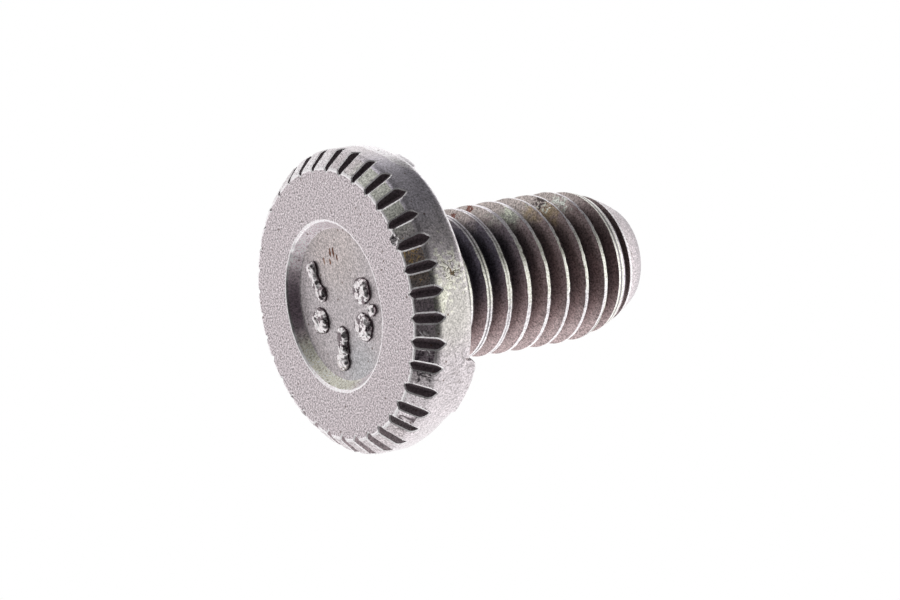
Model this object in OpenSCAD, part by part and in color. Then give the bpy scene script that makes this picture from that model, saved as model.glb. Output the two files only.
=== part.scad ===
// Projection weld stud, M8, cold headed and thread rolled from one piece of steel.
// It stands on the flat face of its head: +Z runs up the shank, and z = 0 is that face.
// All sizes are in millimetres.

/* [Head] */
// Diameter of the head
head_d = 15.7; // [15:0.1:17]
// Thickness of the head, from its flat face to the weld side
head_h = 3.05; // [2.9:0.05:3.6]
// Width of the shoulder between the flat face and the head's side
shoulder_w = 1.05; // [0.9:0.05:1.15]
// Slope of the shoulder's land against the axis, degrees
land_angle = 42; // [38:1:48]
// Radius of the edge between the flat face and the land
edge_r = 0.5; // [0.3:0.05:0.6]
// Radius of the curve between the land and the head's side
shoulder_r = 0.6; // [0.4:0.05:0.8]
// Radius of the edge on the weld side
rim_r = 0.45; // [0.3:0.05:0.6]

/* [Recess in the face] */
// Diameter of the recess at the face
recess_d = 8.4; // [6:0.1:9]
// Depth of the recess
recess_depth = 0.6; // [0.5:0.05:0.9]
// Slope of the recess wall against the axis, degrees
recess_angle = 34; // [20:1:40]
// Radius between the recess wall and its floor
recess_r = 0.55; // [0.3:0.05:0.6]

/* [Shoulder notches] */
// Number of notches round the shoulder
notch_count = 36; // [24:1:40]
// Height above the face at which a notch runs out
notch_h = 1.25; // [1.2:0.05:1.4]
// How far a notch's bottom starts inside the edge of the face
notch_in = 0.2; // [0.1:0.05:0.3]
// Angle of a notch's V section, degrees
notch_angle = 88; // [60:1:92]

/* [Weld projections] */
// Number of projections on the weld side
nib_count = 4; // [3:1:6]
// Height of a projection
nib_h = 0.45; // [0.4:0.05:0.8]
// Height of the one projection that is pressed flatter than the others
nib_flat_h = 0.25; // [0.2:0.05:0.4]
// Width of a projection, from its inner side to the head's side
nib_w = 1.3; // [1:0.05:1.6]
// Length of a projection along the rim
nib_len = 2.8; // [2:0.1:3.4]
// Slope of a projection's ends against the axis, degrees
nib_slope = 35; // [10:1:40]
// Radius of a projection's upper edges
nib_r = 0.3; // [0.1:0.05:0.35]
// Direction of the first projection, degrees
nib_start = 35; // [0:1:90]

/* [Thread] */
// Nominal diameter of the thread
thread_d = 8; // [7.5:0.1:8.5]
// Pitch of the thread
pitch = 1.25; // [1, 1.25]
// Length of the stud under the head
stud_len = 15; // [12:0.5:30]
// Length of the plain neck under the head
neck_len = 1.1; // [0.8:0.1:2]
// Radius between the neck and the head
neck_fillet = 0.3; // [0.1:0.05:0.5]
// Direction in which the thread starts, degrees
thread_start = 187; // [0:1:359]
// Length over which the crest falls to the core at the end of the thread
lead_len = 3.1; // [2.5:0.05:3.3]
// Length of the bare tip
tip_len = 1.05; // [1:0.05:1.5]
// Slope of the tip against the axis, degrees
tip_angle = 28; // [20:1:32]
// Radius of the tip's edge
tip_r = 0.65; // [0.3:0.05:0.7]

/* [Hidden] */
$fn = 96;

head_r = head_d / 2;
face_r = head_r - shoulder_w;
stud_top = head_h + stud_len;

// Which projection is the flatter one, counted from nought
flat_nib = 2;

// Centre of the curve that touches both the land and the head's side
shoulder_x = head_r - shoulder_r;
shoulder_z = ((shoulder_x - face_r) * cos(land_angle) + shoulder_r - edge_r * (1 - sin(land_angle)))
    / sin(land_angle);

// Basic profile of a metric thread, with the flat crest and the root of a rolled bolt
flank_angle = 30;
thread_r = thread_d / 2;
root_r = thread_r - 0.6134 * pitch;
neck_r = thread_r - 0.3248 * pitch;
crest_w = pitch / 8;

// The ridge is a swept section, sunk a little into the core that carries it
steps_per_turn = 36;
ridge_sink = 0.05;
ridge_foot_r = root_r - ridge_sink;
ridge_foot_w = crest_w + 2 * (thread_r - ridge_foot_r) * tan(flank_angle);
ridge_min = 0.02;
run_in_turns = 0.6;
run_out_turns = 0.3;
thread_z0 = head_h + neck_len;
thread_z1 = stud_top - tip_len - ridge_foot_w / 2;
lead_z = stud_top - tip_len - lead_len;
ridge_steps = floor((thread_z1 - thread_z0) / pitch * steps_per_turn);

// Centre of the arc that rounds the tip's edge, touching the tip's cone and its flat end
tip_z = stud_top - tip_len;
tip_arc_z = stud_top - tip_r;
tip_arc_x = root_r - (tip_arc_z - tip_z) * tan(tip_angle) - tip_r / cos(tip_angle);

// Point at an angle on a circle in the half section
function on_arc(x, z, r, angle) = [x + r * cos(angle), z + r * sin(angle)];

// Radius of the crest: it falls in a curve towards the tip, and runs out into the core at both ends
function lead_r(z) = thread_r - (thread_r - root_r) * pow(max(0, z - lead_z) / lead_len, 2);
function run_r(i) = ridge_foot_r
    + min(i / run_in_turns, (ridge_steps - i) / run_out_turns) / steps_per_turn * (thread_r - ridge_foot_r);
function crest_r(i, z) = max(ridge_foot_r + ridge_min, min(lead_r(z), run_r(i)));

// Section of the ridge, as [radius, height] from the crest's centre line
function ridge_section(r) =
    let (half = ridge_foot_w / 2, fall = (r - ridge_foot_r) * tan(flank_angle))
    [[ridge_foot_r, -half], [r, fall - half], [r, half - fall], [ridge_foot_r, half]];

// The same section in its place, i steps along the helix
function ridge_ring(i) =
    let (turn = thread_start + i * 360 / steps_per_turn, z = thread_z0 + i * pitch / steps_per_turn)
    [for (p = ridge_section(crest_r(i, z))) [p[0] * cos(turn), p[0] * sin(turn), z + p[1]]];

// Half section of the head without its recess: straight sides through the centres of its three curves
module head_section() {
    rim_x = head_r - rim_r;
    rim_z = head_h - rim_r;
    polygon([
        [0, 0], [face_r, 0], [face_r, edge_r], on_arc(face_r, edge_r, edge_r, -land_angle),
        on_arc(shoulder_x, shoulder_z, shoulder_r, -land_angle), [shoulder_x, shoulder_z],
        [head_r, shoulder_z], [head_r, rim_z], [rim_x, rim_z], [rim_x, head_h], [0, head_h]
    ]);
    translate([face_r, edge_r]) circle(edge_r);
    translate([shoulder_x, shoulder_z]) circle(shoulder_r);
    translate([rim_x, rim_z]) circle(rim_r);
}

// Half section of the shank, from the middle of the head: neck, thread core and tip
module shank_section() {
    foot_z = head_h / 2;
    polygon([
        [0, foot_z], [neck_r, foot_z], [neck_r, thread_z0], [root_r, thread_z0 + neck_r - root_r],
        [root_r, tip_z], on_arc(tip_arc_x, tip_arc_z, tip_r, tip_angle), [tip_arc_x, tip_arc_z],
        [tip_arc_x, stud_top], [0, stud_top]
    ]);
    translate([tip_arc_x, tip_arc_z]) circle(tip_r);
    translate([neck_r, head_h]) difference() {
        square(neck_fillet);
        translate([neck_fillet, neck_fillet]) circle(neck_fillet);
    }
}

// Half section of the recess: flat floor, rounded corner and sloping wall, carried on below the face
module recess_section() {
    overcut = 0.2;
    corner_z = recess_depth - recess_r;
    corner_x = recess_d / 2 - corner_z * tan(recess_angle) - recess_r / cos(recess_angle);
    polygon([
        [0, -overcut], [recess_d / 2 + overcut * tan(recess_angle), -overcut],
        on_arc(corner_x, corner_z, recess_r, recess_angle), [corner_x, corner_z],
        [corner_x, recess_depth], [0, recess_depth]
    ]);
    translate([corner_x, corner_z]) circle(recess_r);
}

// A V groove cut straight from the face to the side, so it is deepest where the shoulder stands out most
module notch() {
    start_x = face_r - notch_in;
    run = head_r - start_x;
    cutter_h = 2;
    half_w = cutter_h * tan(notch_angle / 2);
    overcut = 1;
    translate([start_x, 0, 0])
        rotate([0, atan2(run, notch_h), 0])
            translate([0, 0, -overcut])
                linear_extrude(norm([run, notch_h]) + 2 * overcut)
                    polygon([[0, 0], [cutter_h, half_w], [cutter_h, -half_w]]);
}

// Half section of a projection of a given height, with its outer side almost flush with the head's
module nib_section(height) {
    inset = 0.03;
    outer = head_r - inset;
    inner = head_r - nib_w;
    foot_z = head_h - rim_r;
    top = head_h + height;
    translate([inner, foot_z]) square([outer - inner, top - nib_r - foot_z]);
    translate([inner + nib_r, foot_z]) square([outer - inner - 2 * nib_r, top - foot_z]);
    for (x = [inner + nib_r, outer - nib_r]) translate([x, top - nib_r]) circle(nib_r);
}

// A low lump that follows the rim, with rounded ends that lean inwards
module nib(height) {
    overcut = 0.1;
    low = -rim_r - overcut;
    high = height + overcut;
    reach = [for (z = [low, high]) nib_len / 2 - z * tan(nib_slope)];
    intersection() {
        rotate_extrude() nib_section(height);
        translate([head_r - nib_w / 2, 0, head_h + low])
            cylinder(h = high - low, r1 = reach[0], r2 = reach[1]);
    }
}

module head() {
    difference() {
        rotate_extrude() difference() {
            head_section();
            recess_section();
        }
        for (i = [0:notch_count - 1]) rotate(i * 360 / notch_count) notch();
    }
}

module thread_ridge() {
    side = 4;
    last = side * ridge_steps;
    polyhedron(
        points = [for (i = [0:ridge_steps]) each ridge_ring(i)],
        faces = concat(
            [[3, 2, 1, 0], [last, last + 1, last + 2, last + 3]],
            [for (i = [0:ridge_steps - 1], j = [0:side - 1])
                let (a = side * i + j, b = side * i + (j + 1) % side)
                each [[a, b, a + side], [a + side, b, b + side]]]
        ),
        convexity = 20
    );
}

module weld_stud() {
    color([0.74, 0.71, 0.7]) {
        head();
        for (i = [0:nib_count - 1])
            rotate(nib_start + i * 360 / nib_count) nib(i == flat_nib ? nib_flat_h : nib_h);
        rotate_extrude() shank_section();
        thread_ridge();
    }
}

weld_stud();
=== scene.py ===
# Projection weld stud, M8: one piece of cold-headed steel with a rolled thread.
# It stands on the flat face of its head.
# Everything is modelled in millimetres and brought to metres at the end.
import math
import random

import bpy
from mathutils import Matrix, Vector, noise


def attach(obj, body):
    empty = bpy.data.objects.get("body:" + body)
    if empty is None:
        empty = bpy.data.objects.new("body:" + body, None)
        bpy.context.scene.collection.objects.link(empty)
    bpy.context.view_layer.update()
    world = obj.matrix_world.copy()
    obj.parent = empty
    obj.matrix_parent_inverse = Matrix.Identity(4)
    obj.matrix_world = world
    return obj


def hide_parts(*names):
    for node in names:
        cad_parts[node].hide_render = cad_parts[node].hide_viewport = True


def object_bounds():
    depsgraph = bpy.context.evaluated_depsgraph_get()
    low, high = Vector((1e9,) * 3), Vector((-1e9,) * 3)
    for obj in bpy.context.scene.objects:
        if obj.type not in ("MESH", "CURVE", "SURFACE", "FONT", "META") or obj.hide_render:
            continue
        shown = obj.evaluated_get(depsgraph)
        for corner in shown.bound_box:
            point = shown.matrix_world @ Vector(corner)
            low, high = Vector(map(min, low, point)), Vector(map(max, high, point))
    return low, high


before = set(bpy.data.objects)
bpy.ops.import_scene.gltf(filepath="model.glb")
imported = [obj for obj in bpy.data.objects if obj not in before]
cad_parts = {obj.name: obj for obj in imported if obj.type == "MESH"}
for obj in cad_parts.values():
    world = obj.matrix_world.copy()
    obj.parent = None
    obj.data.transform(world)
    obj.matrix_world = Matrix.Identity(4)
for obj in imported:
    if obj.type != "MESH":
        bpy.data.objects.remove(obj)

cadLow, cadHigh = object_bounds()
rng = random.Random(8)
mm = 0.001

# what the half sections are drawn with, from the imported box
headRadius = round(cadHigh.x / mm, 2)
studTop = round(cadHigh.z / mm, 2)

# the thread's pitch, and the height of one crest where it passes +X, for its shape and for its finish
pitch, crestZ = 1.25, 4.7507


# small tools

def pick(obj):
    bpy.ops.object.select_all(action="DESELECT")
    obj.select_set(True)
    bpy.context.view_layer.objects.active = obj


def edit(obj):
    # opens the mesh with everything selected
    pick(obj)
    bpy.ops.object.mode_set(mode="EDIT")
    bpy.ops.mesh.select_mode(type="VERT")
    bpy.ops.mesh.select_all(action="SELECT")


def closeSeams():
    # merges what lies on one spot and turns the faces outwards
    bpy.ops.mesh.select_all(action="SELECT")
    bpy.ops.mesh.remove_doubles(threshold=0.0005)
    bpy.ops.mesh.normals_make_consistent(inside=False)


def done():
    bpy.ops.object.mode_set(mode="OBJECT")
    return bpy.context.object


def apply(obj, kind, **values):
    # adds a modifier with these values and applies it
    modifier = obj.modifiers.new(kind.lower(), kind)
    for name, value in values.items():
        setattr(modifier, name, value)
    pick(obj)
    bpy.ops.object.modifier_apply(modifier=modifier.name)


def boolean(obj, tool, operation):
    # what the tool cuts or adds keeps the tool's own finish
    apply(obj, "BOOLEAN", operation=operation, solver="EXACT", object=tool, material_mode="TRANSFER")
    bpy.data.objects.remove(tool)
    # sorted, so that what follows depends less on the order that the solver leaves
    edit(obj)
    bpy.ops.mesh.sort_elements(type="CURSOR_DISTANCE", elements={"VERT", "EDGE", "FACE"})
    done()


def join(objects, name):
    bpy.ops.object.select_all(action="DESELECT")
    for obj in objects:
        obj.select_set(True)
    bpy.context.view_layer.objects.active = objects[0]
    bpy.ops.object.join()
    joined = bpy.context.object
    joined.name = name
    return joined


def arc(centre, radius, start, end, count):
    # points of a half section, [distance from the axis, height], angles from +X towards +Z
    turns = [math.radians(start + (end - start) * i / count) for i in range(count + 1)]
    return [(centre[0] + radius * math.cos(a), centre[1] + radius * math.sin(a)) for a in turns]


def drawn(name, points):
    # one vertex, extruded from point to point
    bpy.ops.object.select_all(action="DESELECT")
    bpy.ops.mesh.primitive_plane_add(size=1)
    line = bpy.context.object
    line.name = name
    edit(line)
    bpy.ops.mesh.merge(type="CENTER")
    bpy.ops.transform.translate(value=(points[0][0], 0, points[0][1]))
    for a, b in zip(points, points[1:]):
        bpy.ops.mesh.extrude_region_move(TRANSFORM_OT_translate={"value": (b[0] - a[0], 0, b[1] - a[1])})
    return done()


def turned(name, points, steps):
    # a half section spun once round Z
    edit(drawn(name, points))
    bpy.ops.mesh.spin(steps=steps, angle=math.tau, center=(0, 0, 0), axis=(0, 0, 1))
    closeSeams()
    return done()


def eased(x, low, high):
    # 0 at low, 1 at high, smooth at both
    t = max(0.0, min(1.0, (x - low) / (high - low)))
    return t * t * (3 - 2 * t)


def between(x, start, full, fade, end):
    # rises from start to full, and falls from fade to end
    return eased(x, start, full) * eased(x, end, fade)


# the steel: one speckle for every finish, with stains, painted light and shade, and a crest seam and
# painted highlight lines laid over it

def group(name, inputs, outputs):
    tree = bpy.data.node_groups.new(name, "ShaderNodeTree")
    for title, kind, value in inputs:
        socket = tree.interface.new_socket(title, in_out="INPUT", socket_type=kind)
        if value is not None:
            socket.default_value = value
    for title, kind in outputs:
        tree.interface.new_socket(title, in_out="OUTPUT", socket_type=kind)
    return tree, tree.nodes.new("NodeGroupInput"), tree.nodes.new("NodeGroupOutput")


def add(tree, kind, values=None, wires=None, **settings):
    # a node with its settings, its socket values and what it is wired to
    node = tree.nodes.new(kind)
    for name, value in settings.items():
        setattr(node, name, value)
    for name, value in (values or {}).items():
        node.inputs[name].default_value = value
    for name, socket in (wires or {}).items():
        tree.links.new(socket, node.inputs[name])
    return node


def grainGroup():
    # fine speckle of rolled and pressed steel, with a few pits; the vector is in millimetres
    tree, inside, outside = group(
        "grain",
        [("Vector", "NodeSocketVector", None), ("Scale", "NodeSocketFloat", 10.5),
         ("Pits", "NodeSocketFloat", 1.0)],
        [("Fine", "NodeSocketFloat"), ("Wide", "NodeSocketFloat"), ("Pit", "NodeSocketFloat")])
    place = inside.outputs["Vector"]
    fine = add(tree, "ShaderNodeTexNoise", {"Detail": 2.5, "Roughness": 0.7},
               {"Vector": place, "Scale": inside.outputs["Scale"]})
    wide = add(tree, "ShaderNodeTexNoise", {"Scale": 1.3, "Detail": 4, "Roughness": 0.6}, {"Vector": place})
    cells = add(tree, "ShaderNodeTexVoronoi", {"Scale": 2.2}, {"Vector": place})
    near = add(tree, "ShaderNodeMapRange", {"From Min": 0.1, "From Max": 0.17, "To Min": 1, "To Max": 0},
               {"Value": cells.outputs["Distance"]})
    chosen = add(tree, "ShaderNodeMapRange", {"From Min": 0.52, "From Max": 0.6},
                 {"Value": cells.outputs["Color"]})
    pit = add(tree, "ShaderNodeMath", None, {0: near.outputs[0], 1: chosen.outputs[0]},
              operation="MULTIPLY")
    pitted = add(tree, "ShaderNodeMath", None, {0: pit.outputs[0], 1: inside.outputs["Pits"]},
                 operation="MULTIPLY")
    tree.links.new(fine.outputs["Fac"], outside.inputs["Fine"])
    tree.links.new(wide.outputs["Fac"], outside.inputs["Wide"])
    tree.links.new(pitted.outputs[0], outside.inputs["Pit"])
    return tree


def patchGroup():
    # a ragged spot round one place, in millimetres; where the stretch is small the spot is long
    tree, inside, outside = group(
        "patch",
        [("Vector", "NodeSocketVector", None), ("Centre", "NodeSocketVector", None),
         ("Stretch", "NodeSocketVector", (1, 1, 1)), ("Radius", "NodeSocketFloat", 1.0),
         ("Soft", "NodeSocketFloat", 0.5), ("Ragged", "NodeSocketFloat", 0.5),
         ("Scale", "NodeSocketFloat", 4.0), ("Amount", "NodeSocketFloat", 1.0)],
        [("Mask", "NodeSocketFloat")])
    apart = add(tree, "ShaderNodeVectorMath", None,
                {0: inside.outputs["Vector"], 1: inside.outputs["Centre"]}, operation="SUBTRACT")
    pulled = add(tree, "ShaderNodeVectorMath", None,
                 {0: apart.outputs["Vector"], 1: inside.outputs["Stretch"]}, operation="MULTIPLY")
    away = add(tree, "ShaderNodeVectorMath", None, {0: pulled.outputs["Vector"]}, operation="LENGTH")
    rough = add(tree, "ShaderNodeTexNoise", {"Detail": 3},
                {"Vector": inside.outputs["Vector"], "Scale": inside.outputs["Scale"]})
    swing = add(tree, "ShaderNodeMath", {1: 0.5}, {0: rough.outputs["Fac"]}, operation="SUBTRACT")
    shift = add(tree, "ShaderNodeMath", None,
                {0: swing.outputs[0], 1: inside.outputs["Ragged"], 2: away.outputs["Value"]},
                operation="MULTIPLY_ADD")
    start = add(tree, "ShaderNodeMath", None, {0: inside.outputs["Radius"], 1: inside.outputs["Soft"]},
                operation="SUBTRACT")
    mask = add(tree, "ShaderNodeMapRange", {"To Max": 0},
               {"Value": shift.outputs[0], "From Min": start.outputs[0],
                "From Max": inside.outputs["Radius"], "To Min": inside.outputs["Amount"]},
               interpolation_type="SMOOTHSTEP")
    tree.links.new(mask.outputs[0], outside.inputs["Mask"])
    return tree


def crazeGroup():
    # thin curved lines, as in skin that has been squeezed
    tree, inside, outside = group(
        "craze",
        [("Vector", "NodeSocketVector", None), ("Grow", "NodeSocketVector", (1, 1, 1)),
         ("Scale", "NodeSocketFloat", 2.0), ("Lines", "NodeSocketFloat", 6.0),
         ("Width", "NodeSocketFloat", 0.15)],
        [("Line", "NodeSocketFloat")])
    pulled = add(tree, "ShaderNodeVectorMath", None,
                 {0: inside.outputs["Vector"], 1: inside.outputs["Grow"]}, operation="MULTIPLY")
    field = add(tree, "ShaderNodeTexNoise", {"Detail": 2, "Distortion": 0.7},
                {"Vector": pulled.outputs["Vector"], "Scale": inside.outputs["Scale"]})
    many = add(tree, "ShaderNodeMath", None, {0: field.outputs["Fac"], 1: inside.outputs["Lines"]},
               operation="MULTIPLY")
    part = add(tree, "ShaderNodeMath", None, {0: many.outputs[0]}, operation="FRACT")
    swing = add(tree, "ShaderNodeMath", {1: 0.5}, {0: part.outputs[0]}, operation="SUBTRACT")
    away = add(tree, "ShaderNodeMath", None, {0: swing.outputs[0]}, operation="ABSOLUTE")
    line = add(tree, "ShaderNodeMapRange", {"From Min": 0, "To Min": 1, "To Max": 0},
               {"Value": away.outputs[0], "From Max": inside.outputs["Width"]},
               interpolation_type="SMOOTHSTEP")
    tree.links.new(line.outputs[0], outside.inputs["Line"])
    return tree


def helixGroup():
    # how far a point of the thread lies from the middle of the nearest crest, along the axis
    tree, inside, outside = group("helix", [("Vector", "NodeSocketVector", None)],
                                  [("Offset", "NodeSocketFloat"), ("Side", "NodeSocketFloat"),
                                   ("Height", "NodeSocketFloat")])
    parts = add(tree, "ShaderNodeSeparateXYZ", None, {0: inside.outputs["Vector"]})
    around = add(tree, "ShaderNodeMath", None, {0: parts.outputs["Y"], 1: parts.outputs["X"]},
                 operation="ARCTAN2")
    turns = add(tree, "ShaderNodeMath", {1: 1 / math.tau}, {0: around.outputs[0]}, operation="MULTIPLY")
    raised = add(tree, "ShaderNodeMath", {1: crestZ}, {0: parts.outputs["Z"]}, operation="SUBTRACT")
    steps = add(tree, "ShaderNodeMath", {1: pitch}, {0: raised.outputs[0]}, operation="DIVIDE")
    place = add(tree, "ShaderNodeMath", None, {0: steps.outputs[0], 1: turns.outputs[0]},
                operation="SUBTRACT")
    whole = add(tree, "ShaderNodeMath", None, {0: place.outputs[0]}, operation="ROUND")
    part = add(tree, "ShaderNodeMath", None, {0: place.outputs[0], 1: whole.outputs[0]},
               operation="SUBTRACT")
    side = add(tree, "ShaderNodeMath", {1: pitch}, {0: part.outputs[0]}, operation="MULTIPLY")
    offset = add(tree, "ShaderNodeMath", None, {0: side.outputs[0]}, operation="ABSOLUTE")
    tree.links.new(offset.outputs[0], outside.inputs["Offset"])
    tree.links.new(side.outputs[0], outside.inputs["Side"])
    tree.links.new(parts.outputs["Z"], outside.inputs["Height"])
    return tree


grain = grainGroup()
patch = patchGroup()
craze = crazeGroup()
helix = helixGroup()


def masked(tree, vector, spot):
    # the mask of one spot
    node = add(tree, "ShaderNodeGroup", {"Centre": spot["at"]}, {"Vector": vector}, node_tree=patch)
    for title in ("Stretch", "Radius", "Soft", "Ragged", "Scale", "Amount"):
        node.inputs[title].default_value = spot[title.lower()]
    return node.outputs["Mask"]


def mixed(tree, amount, colour, tone):
    return add(tree, "ShaderNodeMix", {7: (*tone, 1)}, {0: amount, 6: colour}, data_type="RGBA").outputs[2]


def grooved(tree, vector, colour, lines, root):
    # thin lines that follow the thread, seams and painted highlights, each fading between two heights, and
    # painted shade that darkens the groove's bottom
    # a negative offset is on the head's side of the crest only
    turn = add(tree, "ShaderNodeGroup", None, {"Vector": vector}, node_tree=helix)
    for line in lines:
        place = turn.outputs["Side" if line["offset"] < 0 else "Offset"]
        apart = add(tree, "ShaderNodeMath", {1: line["offset"]}, {0: place}, operation="SUBTRACT")
        away = add(tree, "ShaderNodeMath", None, {0: apart.outputs[0]}, operation="ABSOLUTE")
        near = add(tree, "ShaderNodeMapRange",
                   {"From Min": line["half"] * 1.4, "From Max": line["half"] * 0.7},
                   {"Value": away.outputs[0]}, interpolation_type="SMOOTHSTEP")
        fade = add(tree, "ShaderNodeMapRange",
                   {"From Min": line["full"], "From Max": line["gone"],
                    "To Min": line["amount"], "To Max": 0},
                   {"Value": turn.outputs["Height"]})
        shade = add(tree, "ShaderNodeMath", None, {0: near.outputs[0], 1: fade.outputs[0]},
                    operation="MULTIPLY")
        colour = mixed(tree, shade.outputs[0], colour, line["tone"])
    # painted shade: the groove's bottom darkened, away from the crest
    if root:
        low = add(tree, "ShaderNodeMapRange", {"From Min": 0.2, "From Max": 0.6, "To Max": root},
                  {"Value": turn.outputs["Offset"]}, interpolation_type="SMOOTHSTEP")
        colour = mixed(tree, low.outputs[0], colour, (0.05, 0.045, 0.05))
    return colour


def steel(name, tone, roughness, metallic=0.9, spread=0.75, relief=0.003, pits=0.8, stainsAndPaintedLight=(), crazes=(),
          lines=(), root=0):
    # tone is the metal's colour, spread how far the speckle lightens and darkens it, root how strongly
    # painted shade darkens the thread's groove bottom
    material = bpy.data.materials.new(name)
    material.use_nodes = True
    tree = material.node_tree
    shader = tree.nodes["Principled BSDF"]
    place = add(tree, "ShaderNodeTexCoord")
    inMm = add(tree, "ShaderNodeMapping", {"Scale": (1000, 1000, 1000)},
               {"Vector": place.outputs["Object"]})
    vector = inMm.outputs["Vector"]
    speckle = add(tree, "ShaderNodeGroup", {"Pits": pits}, {"Vector": vector}, node_tree=grain)

    # stains, painted light and shade, and crazed skin, then the speckle and the pits over all
    bare = add(tree, "ShaderNodeRGB")
    bare.outputs[0].default_value = (*tone, 1)
    colour = bare.outputs[0]
    height = speckle.outputs["Fine"]
    for spot in stainsAndPaintedLight:
        colour = mixed(tree, masked(tree, vector, spot), colour, spot["tone"])
    for spot in crazes:
        skin = add(tree, "ShaderNodeGroup",
                   {"Grow": spot["grow"], "Scale": spot["size"], "Lines": spot["lines"],
                    "Width": spot["width"]},
                   {"Vector": vector}, node_tree=craze)
        shown = add(tree, "ShaderNodeMath", None,
                    {0: skin.outputs["Line"], 1: masked(tree, vector, spot)}, operation="MULTIPLY")
        colour = mixed(tree, shown.outputs[0], colour, spot["tone"])
        height = add(tree, "ShaderNodeMath", {1: -spot["depth"]}, {0: shown.outputs[0], 2: height},
                     operation="MULTIPLY_ADD").outputs[0]
    if lines or root:
        colour = grooved(tree, vector, colour, lines, root)
    fine = add(tree, "ShaderNodeMapRange",
               {"From Min": 0.33, "From Max": 0.67, "To Min": 1 - spread, "To Max": 1 + spread},
               {"Value": speckle.outputs["Fine"]})
    wide = add(tree, "ShaderNodeMapRange",
               {"From Min": 0.3, "From Max": 0.7, "To Min": 0.93, "To Max": 1.07},
               {"Value": speckle.outputs["Wide"]})
    level = add(tree, "ShaderNodeMath", None, {0: fine.outputs[0], 1: wide.outputs[0]},
                operation="MULTIPLY")
    lit = add(tree, "ShaderNodeVectorMath", None, {0: colour, 3: level.outputs[0]}, operation="SCALE")
    final = mixed(tree, speckle.outputs["Pit"], lit.outputs[0], (0.12, 0.07, 0.055))
    rough = add(tree, "ShaderNodeMapRange",
                {"From Min": 0.3, "From Max": 0.7, "To Min": roughness - 0.05, "To Max": roughness + 0.08},
                {"Value": speckle.outputs["Wide"]})
    bump = add(tree, "ShaderNodeBump", {"Strength": 1.0, "Distance": relief * mm}, {"Height": height})
    tree.links.new(final, shader.inputs["Base Color"])
    tree.links.new(rough.outputs[0], shader.inputs["Roughness"])
    tree.links.new(bump.outputs[0], shader.inputs["Normal"])
    shader.inputs["Metallic"].default_value = metallic
    return material


# a ragged spot of colour; it serves both for stains and for painted light and shade
def stainAndPaintedLight(at, radius, tone, soft=1.0, ragged=1.0, scale=4.0, amount=1.0, stretch=(1, 1, 1)):
    return {"at": at, "radius": radius, "tone": tone, "soft": soft, "ragged": ragged, "scale": scale,
            "amount": amount, "stretch": stretch}


def crazed(at, radius, tone, size, lines, width, depth=0, grow=(1, 1, 1), **shape):
    # grow below 1 makes the lines longer that way
    return {**stainAndPaintedLight(at, radius, tone, **shape), "size": size, "lines": lines, "width": width,
            "depth": depth, "grow": grow}


def seamAndHighlightLine(offset, half, tone, amount=1.0, full=30, gone=31):
    # a line along the thread, this far from the crest's middle, that fades from full to gone; it serves
    # both for seams and for painted highlight lines
    return {"offset": offset, "half": half, "tone": tone, "amount": amount, "full": full, "gone": gone}


bareSteel = steel("bareSteel", (0.62, 0.57, 0.59), 0.36, spread=0.45, stainsAndPaintedLight=(
    stainAndPaintedLight((1.0, -7.9, 1.5), 3.0, (0.575, 0.55, 0.52), soft=2.2),
    stainAndPaintedLight((-5.6, -5.6, 1.2), 3.6, (0.66, 0.62, 0.69), soft=2.4),
    # painted highlights along the rim's top edge, this and the next
    stainAndPaintedLight((-7.4, -2.7, 3.0), 1.05, (0.92, 0.87, 0.90), soft=0.12, ragged=0.5, scale=2,
          stretch=(0.33, 0.33, 1)),
    stainAndPaintedLight((-4.5, -6.0, 3.2), 0.55, (0.86, 0.82, 0.85), soft=0.14, ragged=0.4, scale=2,
          stretch=(0.13, 0, 1)),
    stainAndPaintedLight((0.2, -7.8, 1.25), 0.9, (0.80, 0.80, 0.66), soft=0.6, ragged=3, scale=3.0, amount=0.7),
    stainAndPaintedLight((-0.9, -7.8, 2.0), 0.8, (0.95, 0.93, 0.80), soft=0.3, ragged=6, scale=4.0, amount=0.7),
    stainAndPaintedLight((-0.88, -7.8, 1.97), 0.11, (0.20, 0.13, 0.08), soft=0.06, ragged=0.6, stretch=(0.6, 1, 1.5)),
    stainAndPaintedLight((-0.62, -7.8, 2.10), 0.10, (0.22, 0.15, 0.09), soft=0.06, ragged=0.6, stretch=(0.6, 1, 1.5)),
), crazes=(
    crazed((3.9, -6.8, 1.9), 2.6, (0.30, 0.27, 0.27), 0.7, 13, 0.2, depth=3, soft=1.6, amount=0.55,
           grow=(1, 1, 0.4)),
    crazed((-1.0, -7.8, 2.1), 1.0, (0.17, 0.15, 0.10), 1.7, 6, 0.2, depth=6, soft=0.7, ragged=1.2,
           amount=0.8, grow=(1, 1, 0.6)),
))
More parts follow.
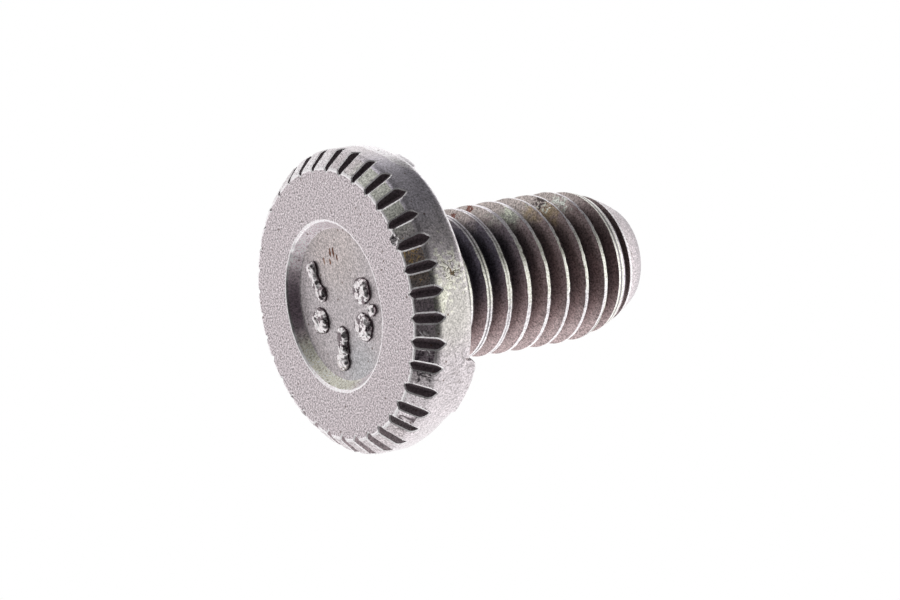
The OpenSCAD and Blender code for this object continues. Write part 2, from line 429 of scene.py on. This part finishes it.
landSteel = steel("landSteel", (0.60, 0.545, 0.56), 0.42, spread=0.6, stainsAndPaintedLight=(
    stainAndPaintedLight((-5.0, -5.2, 0.4), 3.2, (0.57, 0.57, 0.52), soft=1.6),
    # painted light: lands lighter towards -X
    stainAndPaintedLight((-7.3, 0.8, 0.4), 2.8, (0.80, 0.75, 0.77), soft=1.4),
    stainAndPaintedLight((5.2, -5.0, 0.4), 1.7, (0.81, 0.735, 0.765), soft=0.8),
    # painted shade: lands darker and brownish towards -Y
    stainAndPaintedLight((-1.4, -7.0, 0.4), 1.5, (0.46, 0.37, 0.33), soft=0.9, ragged=1.5),
    stainAndPaintedLight((-1.8, -7.0, 0.5), 0.0, (1.0, 0.68, 0.30), soft=0.25, ragged=8, scale=7.0, amount=0.7),
    # painted shade: lands darker towards -Y, here and in the next
    stainAndPaintedLight((1.0, -7.1, 0.4), 1.4, (0.56, 0.47, 0.52), soft=0.9, ragged=1.5),
    stainAndPaintedLight((3.0, -6.5, 0.4), 1.0, (0.27, 0.22, 0.25), soft=0.3, ragged=1.5),
), crazes=(
    crazed((3.6, -6.2, 0.5), 1.15, (0.05, 0.04, 0.05), 1.3, 6, 0.42, depth=4, soft=0.5, ragged=1.5),
    crazed((2.3, -6.8, 0.5), 0.9, (0.95, 0.90, 0.92), 1.2, 4, 0.14, depth=-4, soft=0.3, ragged=1.5),
    crazed((6.0, -4.2, 0.5), 1.5, (0.14, 0.11, 0.12), 1.0, 3, 0.10, depth=4, soft=0.8, ragged=1.5),
))
faceSteel = steel("faceSteel", (0.65, 0.58, 0.605), 0.42, spread=0.78)
recessSteel = steel("recessSteel", (0.57, 0.52, 0.535), 0.4, spread=0.5, stainsAndPaintedLight=(
    stainAndPaintedLight((-3.0, 0.2, 0.6), 3.4, (0.60, 0.535, 0.53), soft=2.4),
    stainAndPaintedLight((3.4, -0.6, 0.6), 2.4, (0.55, 0.535, 0.555), soft=2.0),
    stainAndPaintedLight((-2.67, 0.50, 0.6), 0.26, (0.15, 0.06, 0.035), soft=0.08, ragged=0.4, stretch=(0.8, 3, 1)),
    stainAndPaintedLight((-2.60, 0.22, 0.6), 0.28, (0.15, 0.06, 0.035), soft=0.08, ragged=0.5, stretch=(0.8, 3, 1)),
    stainAndPaintedLight((-2.31, -0.05, 0.6), 0.22, (0.15, 0.06, 0.035), soft=0.08, ragged=0.4, stretch=(0.8, 3, 1)),
    stainAndPaintedLight((-2.20, 0.62, 0.6), 0.16, (0.22, 0.10, 0.06), soft=0.08, ragged=0.3, stretch=(1, 2, 1)),
    stainAndPaintedLight((-2.25, 1.16, 0.6), 0.19, (0.30, 0.17, 0.12), soft=0.1, ragged=0.3, stretch=(0.8, 3, 1)),
))
# the recess wall's colour is near white, which brightens it: painted light
wallPaintedLightSteel = steel("wallPaintedLightSteel", (1.0, 0.87, 0.92), 0.5, metallic=0.6, spread=0.5, stainsAndPaintedLight=(
    # painted light: the wall lighter towards +X
    stainAndPaintedLight((3.4, 2.2, 0.3), 3.6, (0.96, 0.93, 0.80), soft=1.6),
    # painted shade: the wall darker towards +Y
    stainAndPaintedLight((-0.2, 4.1, 0.3), 2.6, (0.42, 0.33, 0.39), soft=2.0, ragged=0.8),
))
# near white: painted highlight on the recess's lip and on the face's worn edge
lipHighlightSteel = steel("lipHighlightSteel", (1.0, 0.93, 0.96), 0.3, metallic=0.95, spread=0.3, pits=0)
# coloured near black in the notches and in the chip, lighter towards +X
notchSteel = steel("notchSteel", (0.15, 0.115, 0.13), 0.65, metallic=0.5, spread=0.5, stainsAndPaintedLight=(
    stainAndPaintedLight((7.6, 1.5, 0.6), 7.2, (0.50, 0.42, 0.44), soft=5.5),
))
# near white on every bevelled edge: worn edges, brightened with a painted highlight
wornEdgeHighlightSteel = steel("wornEdgeHighlightSteel", (1.0, 0.95, 0.97), 0.35, metallic=0.6, spread=0.3, pits=0, stainsAndPaintedLight=(
    # painted shade: dark spot on the bevel inside the chip
    stainAndPaintedLight((-2.80, -6.13, 0.06), 0.19, (0.11, 0.09, 0.10), soft=0.08, ragged=0.3),
))
# near white, for painted highlights on the marks
markPaintedLightSteel = steel("markPaintedLightSteel", (0.98, 0.89, 0.91), 0.27, spread=0.4, stainsAndPaintedLight=(
    # painted shade: ragged dark spots over the marks
    stainAndPaintedLight((0, 0, 0.4), 1.5, (0.11, 0.075, 0.09), soft=0.3, ragged=12, scale=2.6, amount=0.85),
))
# painted shadow along the marks' foot, where they meet the recess's floor
footShadowSteel = steel("footShadowSteel", (0.12, 0.085, 0.10), 0.6, spread=0.5, pits=0)
# the flanks' dark colour is painted shade, beside the crests' painted highlight; root darkens the groove's
# bottom as painted shade too
flankShadeSteel = steel("flankShadeSteel", (0.32, 0.25, 0.25), 0.42, spread=0.6, root=0.5, pits=0.3, stainsAndPaintedLight=(
    # painted shade: flanks darker nearer the head, towards -Y
    stainAndPaintedLight((-1.8, -3.4, 6.0), 4.4, (0.11, 0.10, 0.125), soft=3.0, stretch=(1, 1, 0.8)),
    # painted light: flanks lighter towards +X
    stainAndPaintedLight((4.6, -1.2, 10.5), 4.6, (0.54, 0.43, 0.43), soft=2.6, stretch=(1, 1, 0.4)),
    stainAndPaintedLight((-4.2, -0.6, 11.0), 3.0, (0.50, 0.44, 0.42), soft=1.6, ragged=1.5, scale=2.5,
          stretch=(1, 1, 0.4)),
    stainAndPaintedLight((-3.1, -2.2, 10.0), 1.0, (0.42, 0.43, 0.38), soft=0.8, ragged=1.5, scale=2.5,
          stretch=(1, 1, 0.7)),
    stainAndPaintedLight((-3.0, -2.3, 12.3), 1.1, (0.46, 0.36, 0.25), soft=0.9, ragged=2.0, scale=2.5,
          stretch=(1, 1, 0.7)),
    # painted highlights: small greenish-white spots, this and the next two
    stainAndPaintedLight((-3.2, -2.0, 10.6), 0.4, (0.80, 0.84, 0.70), soft=0.2, ragged=3.5, scale=5.0, amount=0.8),
    stainAndPaintedLight((-3.3, -1.8, 12.3), 0.4, (0.80, 0.84, 0.76), soft=0.2, ragged=3.5, scale=5.0, amount=0.8),
    stainAndPaintedLight((-3.4, -1.6, 13.9), 0.5, (0.76, 0.80, 0.74), soft=0.3, ragged=3.5, scale=4.0, amount=0.8),
    stainAndPaintedLight((-3.5, -1.5, 12.9), 0.3, (0.08, 0.06, 0.06), soft=0.1, ragged=3.0, scale=6.0, amount=0.9),
    stainAndPaintedLight((-3.75, -0.5, 9.05), 0.3, (0.20, 0.07, 0.05), soft=0.1, ragged=1.6, scale=4.0, amount=0.9),
    stainAndPaintedLight((-3.6, -1.1, 7.3), 0.28, (0.20, 0.07, 0.05), soft=0.1, ragged=1.6, scale=4.0, amount=0.9),
))
# near white: painted highlight on the crests
crestHighlightSteel = steel("crestHighlightSteel", (0.92, 0.87, 0.90), 0.28, metallic=0.65, spread=0.45, pits=0, stainsAndPaintedLight=(
    stainAndPaintedLight((-0.2, -4.0, 10), 2.3, (0.92, 0.91, 0.80), soft=1.3, stretch=(1, 1, 0.2)),
    stainAndPaintedLight((-3.6, -1.8, 10), 2.0, (1.0, 0.92, 1.0), soft=1.0, stretch=(1, 1, 0.1)),
), lines=(seamAndHighlightLine(0, 0.042, (0.05, 0.045, 0.05), 0.8, 7.2, 9.6),))
leadSteel = steel("leadSteel", (0.72, 0.67, 0.72), 0.4, spread=0.4, pits=0, lines=(
    seamAndHighlightLine(0.04, 0.03, (0.06, 0.05, 0.06), 0.8),
    # painted highlight: near-white line along the lead
    seamAndHighlightLine(0.13, 0.06, (0.95, 0.95, 0.82), 0.8),
))
tipSteel = steel("tipSteel", (0.66, 0.60, 0.62), 0.45, spread=0.5, stainsAndPaintedLight=(
    # painted shade: darker towards the tip's end
    stainAndPaintedLight((0, 0, 18.4), 1.6, (0.46, 0.42, 0.44), soft=0.9, stretch=(0.2, 0.2, 1)),
), lines=(
    # painted highlight: white line beside the last crest, on the head's side
    seamAndHighlightLine(-0.29, 0.06, (1.0, 0.96, 0.98), 1, 16.8, 17.0),
))

# the head

head = {
    "height": 3.05, "faceEdge": 6.88, "edgeTop": 0.165, "edgeSide": 7.172, "landTilt": 42, "landTop": 0.75,
    "rimRadius": 0.45, "recessRadius": 4.2, "recessFloor": 3.8, "recessDepth": 0.6, "recessFillet": 0.35,
    "edgeWorn": 0.13, "edgeDrop": 0.02, "lipRound": 0.19, "burr": 0.05, "steps": 360,
    # where the rim is pressed in and where it flares, in degrees, and how far
    "rimPress": 0.16, "pressAround": (-38, -29, -18, 0),
    "rimFlare": 0.06, "flareAround": (-158, -146, -128, -116),
    # the distances from the axis between which the recess's lip wanders, and how far it does:
    # all round, in one wave, in two waves, towards +Y, and in fine raggedness
    "lipReach": (3.3, 4.15, 4.4, 5.4), "lipShift": (0.08, 0.065, 0.08, 0.12), "lipRagged": 0.03,
}


def shoulderSection():
    # worn edge of the face, its bevel, the flat land and the rounding into the side
    h = head
    tilt = math.radians(h["landTilt"])
    low = (h["edgeSide"], h["edgeTop"])
    high = (low[0] + (h["landTop"] - low[1]) * math.tan(tilt), h["landTop"])
    worn = (h["faceEdge"] + h["edgeWorn"], h["edgeDrop"])
    bend = (headRadius - high[0]) / (1 - math.cos(tilt))
    side = arc((headRadius - bend, high[1] + bend * math.sin(tilt)), bend, 360 - h["landTilt"], 360, 8)
    return [worn, low, *side]


def headSection():
    h = head
    wall = math.degrees(math.atan2(h["recessDepth"], h["recessRadius"] - h["recessFloor"]))
    fillet, lip = h["recessFillet"], h["lipRound"]
    # the recess: floor, fillet, wall, rounded lip
    floorEnd = h["recessFloor"] - fillet * math.tan(math.radians(wall) / 2)
    lipStart = h["recessRadius"] + lip * math.tan(math.radians(wall) / 2)
    points = [(0, h["recessDepth"])]
    points += [(floorEnd * i / 6, h["recessDepth"]) for i in range(1, 6)]
    points += arc((floorEnd, h["recessDepth"] - fillet), fillet, 90, 90 - wall, 8)
    points += arc((lipStart, lip), lip, 270 - wall, 270, 5)
    # face, shoulder, side, rim and weld side
    points += [(lipStart + (h["faceEdge"] - lipStart) * i / 8, 0) for i in range(1, 9)]
    points += shoulderSection()
    sideLow, sideHigh = points[-1][1], h["height"] - h["rimRadius"]
    points += [(headRadius, sideLow + (sideHigh - sideLow) * i / 7) for i in range(1, 7)]
    points += arc((headRadius - h["rimRadius"], sideHigh), h["rimRadius"], 0, 90, 7)
    points += [(r, h["height"]) for r in (6.9, 6.3, 5.6, 4.9, 4.2, 3.5, 2.0)] + [(0, h["height"])]
    return points


stud = turned("stud", headSection(), head["steps"])


def lipShift(around):
    # the recess is not quite round
    a = math.radians(around)
    out, one, two, side = head["lipShift"]
    return out + one * math.cos(a + 0.17) + two * math.cos(2 * a + 0.52) + side * math.sin(a)


# the rim is pressed out of round on one side and flared on another, and the recess's lip wanders
for v in stud.data.vertices:
    r, around = math.hypot(v.co.x, v.co.y), math.degrees(math.atan2(v.co.y, v.co.x))
    if r < 0.01:
        continue
    shift = 0
    if r > 7 and v.co.z > 1.3:
        press = between(around, *head["pressAround"]) * eased(v.co.z, 1.5, 3)
        flare = between(around, *head["flareAround"]) * eased(v.co.z, 2.1, 2.7)
        shift = head["rimFlare"] * flare - head["rimPress"] * press
    elif r < 5.4 and v.co.z < 1:
        reach = between(r, *head["lipReach"])
        shift = reach * (lipShift(around) + head["lipRagged"] * noise.noise(v.co * 2.3))
    elif abs(r - head["faceEdge"]) < 0.1 and v.co.z < 0.1:
        shift = head["burr"] * noise.noise(v.co * 4.1)
    v.co.x, v.co.y = [c * (1 + shift / r) for c in (v.co.x, v.co.y)]
for material in (bareSteel, faceSteel, recessSteel, wornEdgeHighlightSteel, wallPaintedLightSteel, landSteel, lipHighlightSteel):
    stud.data.materials.append(material)
for face in stud.data.polygons:
    r, z = math.hypot(face.center.x, face.center.y), face.center.z
    if z < 0.0005:
        face.material_index = 1
    # the recess's lip takes the near-white painted highlight
    elif r < 5 and z < head["lipRound"] * 0.8:
        face.material_index = 6
    elif r < 5 and z < head["recessDepth"] - 0.06:
        face.material_index = 4
    elif r < 5 and z < head["recessDepth"] + 0.01:
        face.material_index = 2
    # the face's worn edge takes the same painted highlight
    elif z < 0.05 and r < head["faceEdge"] + head["edgeWorn"]:
        face.material_index = 6
    elif z < head["landTop"] and r < 7.9:
        face.material_index = 5
print("head turned", len(stud.data.polygons))

# the notches across the shoulder

notch = {
    "count": 36, "height": 1.32, "start": 6.77, "startShift": 0.06, "startAround": 320,
    "angle": 96, "bottomRadius": 0.08, "depth": 1.5,
    "edgeRound": 0.05, "merge": 0.008, "lengthSpread": 0.06, "angleSpread": 6, "turnSpread": 0.35,
    # a chip at the edge of the face
    "chip": (-2.80, -6.20, 0.06), "chipRadius": 0.25,
}


def notchCutters():
    # V bars with a rounded bottom, straight from the face to the side, a little off centre
    n = notch
    cutters = []
    for i in range(n["count"]):
        around = i * 360 / n["count"]
        startX = n["start"] - n["startShift"] * math.cos(math.radians(around - n["startAround"]))
        height = n["height"] * (1 + rng.uniform(-1, 1) * n["lengthSpread"])
        half = (n["angle"] + rng.uniform(-1, 1) * n["angleSpread"]) / 2
        bottom = arc((n["bottomRadius"], 0), n["bottomRadius"], 90 + half, 270 - half, 5)
        spread = n["depth"] * math.tan(math.radians(half))
        section = [(n["depth"], bottom[0][1] + spread), *bottom, (n["depth"], bottom[-1][1] - spread)]
        cutter = drawn("notchCutter", section)
        edit(cutter)
        bpy.ops.mesh.edge_face_add()
        bpy.ops.mesh.extrude_region_move(
            TRANSFORM_OT_translate={"value": (0, math.hypot(headRadius - startX, height) + 2, 0)})
        bpy.ops.mesh.select_all(action="SELECT")
        bpy.ops.mesh.normals_make_consistent(inside=False)
        done()
        along = Vector((headRadius - startX, 0, height)).normalized()
        outwards = Vector((along.z, 0, -along.x))
        lie = Matrix((outwards, along, outwards.cross(along))).transposed().to_4x4()
        turn = math.radians(around + rng.uniform(-1, 1) * n["turnSpread"])
        start = Vector((startX, 0, 0)) - along
        cutter.data.transform(Matrix.Rotation(turn, 4, "Z") @ Matrix.Translation(start) @ lie)
        cutters.append(cutter)
    bpy.ops.mesh.primitive_ico_sphere_add(subdivisions=2, radius=n["chipRadius"])
    chip = bpy.context.object
    for v in chip.data.vertices:
        v.co = Vector(n["chip"]) + v.co * (1 + 0.9 * noise.noise(v.co * 9))
    cutters.append(chip)
    cutter = join(cutters, "notchCutters")
    cutter.data.materials.append(notchSteel)
    return cutter


boolean(stud, notchCutters(), "DIFFERENCE")
edit(stud)
bpy.ops.mesh.remove_doubles(threshold=notch["merge"])
done()
# every bevel takes the worn edges' near-white painted highlight
apply(stud, "BEVEL", limit_method="ANGLE", angle_limit=math.radians(26), width=notch["edgeRound"],
      segments=1, material=3, use_clamp_overlap=False)
for v in stud.data.vertices:
    v.co.z = max(v.co.z, 0)  # nothing stands below the flat face
print("notches cut", len(stud.data.polygons))

# plain pips and bars raised on the recess's floor

marks = {
    # foot is how high the painted shadow at each mark's foot reaches
    "rise": 0.3, "foot": 0.09, "grain": 0.035, "lumps": 0.085,
    # direction, distance from the axis, length, width, turn
    "bars": ((121, 2.43, 2.2, 0.8, 38), (14, 2.35, 2.3, 0.95, 0)),
    # direction, distance from the axis, radius
    "pips": ((72, 2.4, 0.70), (311, 2.05, 0.74), (255, 1.95, 0.72), (282, 2.62, 0.31)),
}


def lump(x, y, radius, height):
    # a low dome with steep sides
    bpy.ops.object.select_all(action="DESELECT")
    bpy.ops.mesh.primitive_uv_sphere_add(segments=32, ring_count=16, radius=radius)
    made = bpy.context.object
    for v in made.data.vertices:
        v.co.z = math.copysign(abs(v.co.z / radius) ** 0.75, v.co.z) * height
        v.co.x += x
        v.co.y += y
    return made


def raisedMarks():
    # each is made of a few lumps grown together
    m = marks
    made = []
    for direction, distance, length, width, turn in m["bars"]:
        reach = (length - width) / 2
        sizes = (width * 0.5, width * 0.44, width * 0.55)
        lumps = [lump(reach * (i - 1), 0.05 * (-1) ** i, sizes[i], m["rise"]) for i in range(3)]
        lumps += [lump(reach * (i - 0.5), 0, width * 0.4, m["rise"] * 0.8) for i in range(2)]
        bar = join(lumps, "bar")
        bar.data.transform(Matrix.Rotation(math.radians(turn), 4, "Z"))
        made.append((bar, direction, distance))
    for direction, distance, radius in m["pips"]:
        pip = lump(0, 0, radius, m["rise"])
        for v in pip.data.vertices:
            # a shallow dimple in the top
            v.co.z += 0.3 * m["rise"] * eased(math.hypot(v.co.x, v.co.y), radius * 0.55, 0) * (v.co.z < 0)
        made.append((pip, direction, distance))
    for piece, direction, distance in made:
        place = Matrix.Rotation(math.radians(direction), 4, "Z") @ Matrix.Translation((distance, 0, 0))
        piece.data.transform(Matrix.Translation((0, 0, head["recessDepth"])) @ place)
    made = join([piece for piece, direction, distance in made], "raisedMarks")
    apply(made, "REMESH", mode="VOXEL", voxel_size=m["grain"], adaptivity=0.0)
    for v in made.data.vertices:
        rough = (noise.noise_vector(v.co * 2.3) + noise.noise_vector(v.co * 6.1) * 0.5) * m["lumps"]
        v.co += Vector((rough.x, rough.y, rough.z * 0.8))
    for material in (markPaintedLightSteel, footShadowSteel):
        made.data.materials.append(material)
    for face in made.data.polygons:
        # faces near the floor take the painted shadow
        face.material_index = 1 if face.center.z > head["recessDepth"] - m["foot"] else 0
    return made


boolean(stud, raisedMarks(), "UNION")
print("marks raised", len(stud.data.polygons))

# the shank

thread = {
    "radius": 4.0, "root": 3.233, "neck": 3.594, "neckLength": 1.1, "neckFillet": 0.3, "steps": 120,
    "crestWidth": 0.19, "raggedness": 0.035,
    # share of the crest's width that takes the painted highlight, how much it swings round the thread, how
    # ragged it is
    "highlightShare": 0.31, "highlightSwing": 0.17, "highlightRagged": 0.12,
    "firstCrests": ((3.86, 6.6), (3.915, 8.2), (3.95, 9.4), (3.975, 10.7), (4.01, 12.2)),
    "leadStart": 13.9, "leadCurve": 0.081, "leadBase": 14.6, "tipBase": 16.0, "tipAngle": 32,
    "tipRound": 0.6,
}


def leadRadius(z):
    # the blank falls in a curve from the first full crest to the tip
    return thread["radius"] - thread["leadCurve"] * (z - thread["leadStart"]) ** 2


def threadProfile():
    # one pitch, from root to root, crest in the middle
    t = thread
    crest = t["crestWidth"] / 2
    flank = (t["radius"] - t["root"]) * math.tan(math.radians(30))
    rootFlat = pitch / 2 - crest - flank
    points = [(t["root"], -pitch / 2), (t["root"] + 0.004, -pitch / 2 + rootFlat * 0.6)]
    for share in (0.04, 0.16, 0.32, 0.5, 0.66, 0.8, 0.9):  # rows up the flank
        away = t["root"] + 0.01 + (t["radius"] - t["root"] - 0.02) * share
        points.append((away, -crest - flank * (1 - share)))
    points += [(t["radius"] - 0.005, -crest * 0.95), (t["radius"], -crest * 0.6)]
    mirrored = [(r, -z) for r, z in reversed(points)]
    return points + [(t["radius"], 0)] + mirrored


def blankSection():
    # the bar that the thread is rolled on: not quite full under the head, tapered and rounded at the tip
    t = thread
    arcZ = studTop - t["tipRound"]
    slope = math.radians(t["tipAngle"])
    leadEnd = arcZ + t["tipRound"] * math.sin(slope)
    arcX = leadRadius(leadEnd) - t["tipRound"] * math.cos(slope)
    points = [(0, head["height"] - 0.5), (t["firstCrests"][0][0], head["height"] - 0.5), *t["firstCrests"]]
    points += [(t["radius"] + 0.03, t["leadStart"])]
    rows = [t["leadStart"] + (leadEnd - t["leadStart"]) * k / 16 for k in range(1, 16)]
    points += [(leadRadius(z), z) for z in rows]
    points += arc((arcX, arcZ), t["tipRound"], t["tipAngle"], 90, 9)
    return points + [(arcX * 0.5, studTop), (0, studTop)]


def threadedRod():
    t = thread
    lowTurn = math.floor((head["height"] - crestZ) / pitch) - 1
    turns = math.ceil((studTop - head["height"]) / pitch) + 4
    rod = drawn("rod", [(r, z + crestZ + lowTurn * pitch) for r, z in threadProfile()])
    apply(rod, "SCREW", angle=math.tau, steps=t["steps"], render_steps=t["steps"], iterations=turns,
          screw_offset=pitch, axis="Z", use_merge_vertices=True, merge_threshold=0.0005)

    # crests and flanks, told apart by their place on the helix: crests painted bright as a highlight,
    # flanks painted dark as shade
    neckTop = head["height"] + t["neckLength"]
    for material in (flankShadeSteel, crestHighlightSteel, bareSteel):
        rod.data.materials.append(material)
    for face in rod.data.polygons:
        x, y, z = face.center
        place = (z - crestZ) / pitch - math.atan2(y, x) / math.tau
        away = abs(place - round(place)) * pitch
        wide = t["highlightShare"] + t["highlightSwing"] * math.cos(math.atan2(y, x) + 1.3)
        wide += t["highlightRagged"] * noise.noise(face.center * 1.7)
        face.material_index = 2 if z < neckTop else 1 if away < t["crestWidth"] * wide else 0

    # the neck and the run-in of the first turn, and crests that are a little ragged
    for v in rod.data.vertices:
        r, z = math.hypot(v.co.x, v.co.y), v.co.z
        base = t["root"] + (t["neck"] - t["root"]) * eased(z, neckTop + 0.4, neckTop)
        gap = z - head["height"]
        if gap < t["neckFillet"]:
            f = t["neckFillet"]
            base += f - math.sqrt(max(0, f * f - (f - max(0, gap)) ** 2))
        ridge = (r - t["root"]) * eased(z, neckTop, neckTop + 0.8)
        if r > t["radius"] - 0.2:
            ragged = noise.noise(v.co * 2.3) + 0.4 * noise.noise(v.co * 6.1)
            ridge -= abs(ragged) * t["raggedness"]
            v.co.z += ragged * t["raggedness"]
        v.co.x, v.co.y = [c / r * (base + ridge) for c in (v.co.x, v.co.y)]

    edit(rod)
    closeSeams()
    for cutZ, side in ((head["height"] - 0.4, -1), (studTop + 0.5, 1)):
        bpy.ops.mesh.select_all(action="SELECT")
        bpy.ops.mesh.bisect(plane_co=(0, 0, cutZ), plane_no=(0, 0, side), clear_outer=True, use_fill=True)
    bpy.ops.mesh.select_all(action="SELECT")
    bpy.ops.mesh.normals_make_consistent(inside=False)
    done()

    # what the blank cuts off is bare crest, in the crests' painted highlight colour, and bare tip past the
    # last turn
    blank = turned("blank", blankSection(), t["steps"])
    for material in (crestHighlightSteel, leadSteel, tipSteel):
        blank.data.materials.append(material)
    for face in blank.data.polygons:
        z = face.center.z
        face.material_index = 2 if z > t["tipBase"] else 1 if z > t["leadBase"] else 0
    boolean(rod, blank, "INTERSECT")
    return rod


boolean(stud, threadedRod(), "UNION")
print("shank added", len(stud.data.polygons))

# the weld projections

nib = {
    # direction, arc in degrees, height and how far the highest point leans to one end
    "places": ((35, 22, 0.45, 0.3), (127, 18, 0.4, -0.2), (211.8, 10.5, 0.25, 0.2),
               (310.5, 24, 0.45, -1.05)),
    "outer": 7.83, "width": 1.3, "round": 0.3, "foot": 2.6, "steps": 24,
}


def nibs():
    # lumps pressed up at the rim, each highest a little off its middle
    n = nib
    made = []
    inner = n["outer"] - n["width"]
    for direction, span, height, lean in n["places"]:
        top = head["height"] + height
        section = [(inner, n["foot"]), (n["outer"], n["foot"])]
        section += arc((n["outer"] - n["round"], top - n["round"]), n["round"], 0, 90, 6)
        section += arc((inner + n["round"], top - n["round"]), n["round"], 90, 180, 6)
        piece = drawn("nib", section)
        edit(piece)
        bpy.ops.mesh.edge_face_add()
        bpy.ops.mesh.spin(steps=n["steps"], angle=math.radians(span), center=(0, 0, 0), axis=(0, 0, 1))
        closeSeams()
        done()
        piece.data.transform(Matrix.Rotation(math.radians(span / 2), 4, "Z"))
        peak = lean * 0.6
        for v in piece.data.vertices:
            along = math.degrees(math.atan2(v.co.y, v.co.x)) / (span / 2) - peak
            side = 1 if along > 0 else -1
            far = min(1, abs(along) / (1 - side * peak))
            rise = 1 - far ** (3 if side * lean > 0 else 1.8)
            if v.co.z > head["height"]:
                v.co.z = head["height"] - 0.02 + (v.co.z - head["height"] + 0.02) * rise
        piece.data.transform(Matrix.Rotation(math.radians(direction), 4, "Z"))
        made.append(piece)
    made = join(made, "nibs")
    made.data.materials.append(bareSteel)
    return made


boolean(stud, nibs(), "UNION")
print("weld projections added", len(stud.data.polygons))

# one finished piece, in metres

stud.name = "weldStud"
stud.data.transform(Matrix.Scale(mm, 4))
pick(stud)
bpy.ops.object.shade_smooth_by_angle(angle=math.radians(20))

print("triangles", sum(len(p.vertices) - 2 for p in stud.data.polygons))

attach(stud, "root")
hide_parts("weld_stud")

# camera, light and floor

view = {
    "location": (-3.091, -156.535, -103.462), "lens": 148.0, "forward": (0.0202, 0.8165, 0.5770),
    "right": (0.1586, -0.5724, 0.8045), "down": (0.9871, 0.0753, -0.1410),
}
right, up, forward = Vector(view["right"]), -Vector(view["down"]), Vector(view["forward"])
camera = bpy.data.objects.new("camera", bpy.data.cameras.new("camera"))
bpy.context.scene.collection.objects.link(camera)
turn = Matrix((right, up, -forward)).transposed().to_4x4()
camera.matrix_world = Matrix.Translation(Vector(view["location"]) * mm) @ turn
camera.data.lens = view["lens"]
camera.data.sensor_width = 36
camera.data.clip_start, camera.data.clip_end = 0.01, 10
bpy.context.scene.camera = camera
bpy.context.scene.view_settings.view_transform = "Standard"


def seen(towards):
    # a direction told from the camera, right, up and forward, as one in the scene
    return (right * towards[0] + up * towards[1] + forward * towards[2]).normalized()


# directions are told from the camera; each glow starts and ends at these cosines from its middle
studio = {
    "tent": (0.21, 0.03, 0.98), "tentSpan": (-0.66, -0.08), "tentBright": (0.02, 1.22),
    "back": (0.45, -0.03, 0.89), "backSpan": (0.14, 0.78), "backBright": (0, 0.45),
    "right": (0.93, 0.1, -0.3), "rightSpan": (0.6, 0.95), "rightBright": (0, 0.45),
    "below": (-0.05, -0.98, -0.15), "belowSpan": (0.6, 0.95), "belowBright": (0, 0.3),
    "left": (-0.45, 0.76, -0.47), "leftSpan": (0.74, 0.96), "leftBright": (0, 0.42),
    "top": (0.40, 0.88, -0.1), "topSpan": (0.58, 0.80), "topBright": (1, 0.12),
}
world = bpy.data.worlds.new("studio")
bpy.context.scene.world = world
world.use_nodes = True
nodes, links = world.node_tree.nodes, world.node_tree.links
nodes.clear()


def glow(name):
    # light that grows towards one direction
    place = nodes.new("ShaderNodeTexCoord")
    dot = nodes.new("ShaderNodeVectorMath")
    dot.operation = "DOT_PRODUCT"
    dot.inputs[1].default_value = seen(studio[name])
    ramp = nodes.new("ShaderNodeMapRange")
    ramp.interpolation_type = "SMOOTHSTEP"
    values = studio[name + "Span"] + studio[name + "Bright"]
    for title, value in zip(("From Min", "From Max", "To Min", "To Max"), values):
        ramp.inputs[title].default_value = value
    links.new(place.outputs["Generated"], dot.inputs[0])
    links.new(dot.outputs["Value"], ramp.inputs["Value"])
    return ramp.outputs["Result"]


def combined(operation, a, b):
    node = nodes.new("ShaderNodeMath")
    node.operation = operation
    links.new(a, node.inputs[0])
    links.new(b, node.inputs[1])
    return node.outputs[0]


output = nodes.new("ShaderNodeOutputWorld")
mix = nodes.new("ShaderNodeMixShader")
rays = nodes.new("ShaderNodeLightPath")
white = nodes.new("ShaderNodeBackground")
white.inputs["Color"].default_value = (1, 1, 1, 1)
room = nodes.new("ShaderNodeBackground")
total = glow("tent")
for name in ("back", "right", "below", "left"):
    total = combined("ADD", total, glow(name))
links.new(combined("MULTIPLY", total, glow("top")), room.inputs["Strength"])
links.new(rays.outputs["Is Camera Ray"], mix.inputs["Fac"])
links.new(room.outputs[0], mix.inputs[1])
links.new(white.outputs[0], mix.inputs[2])
links.new(mix.outputs[0], output.inputs["Surface"])

bpy.ops.object.select_all(action="DESELECT")
bpy.ops.mesh.primitive_plane_add(size=1.2, location=(0, 0, 0))
floor = bpy.context.object
floor.name = "floor"  # seen from above only, so the head's face shows from below
floor.data.transform(Matrix.Translation((0, 0, -0.02 * mm)))
paper = bpy.data.materials.new("paper")
paper.use_nodes = True
nodes, links = paper.node_tree.nodes, paper.node_tree.links
clear = nodes.new("ShaderNodeBsdfTransparent")
side = nodes.new("ShaderNodeNewGeometry")
mix = nodes.new("ShaderNodeMixShader")
shader = nodes["Principled BSDF"]
shader.inputs["Base Color"].default_value = (0.8, 0.8, 0.8, 1)
shader.inputs["Roughness"].default_value = 0.8
links.new(side.outputs["Backfacing"], mix.inputs["Fac"])
links.new(shader.outputs[0], mix.inputs[1])
links.new(clear.outputs[0], mix.inputs[2])
links.new(mix.outputs[0], nodes["Material Output"].inputs["Surface"])
floor.data.materials.append(paper)
floor.visible_diffuse = floor.visible_glossy = floor.visible_transmission = floor.visible_shadow = False
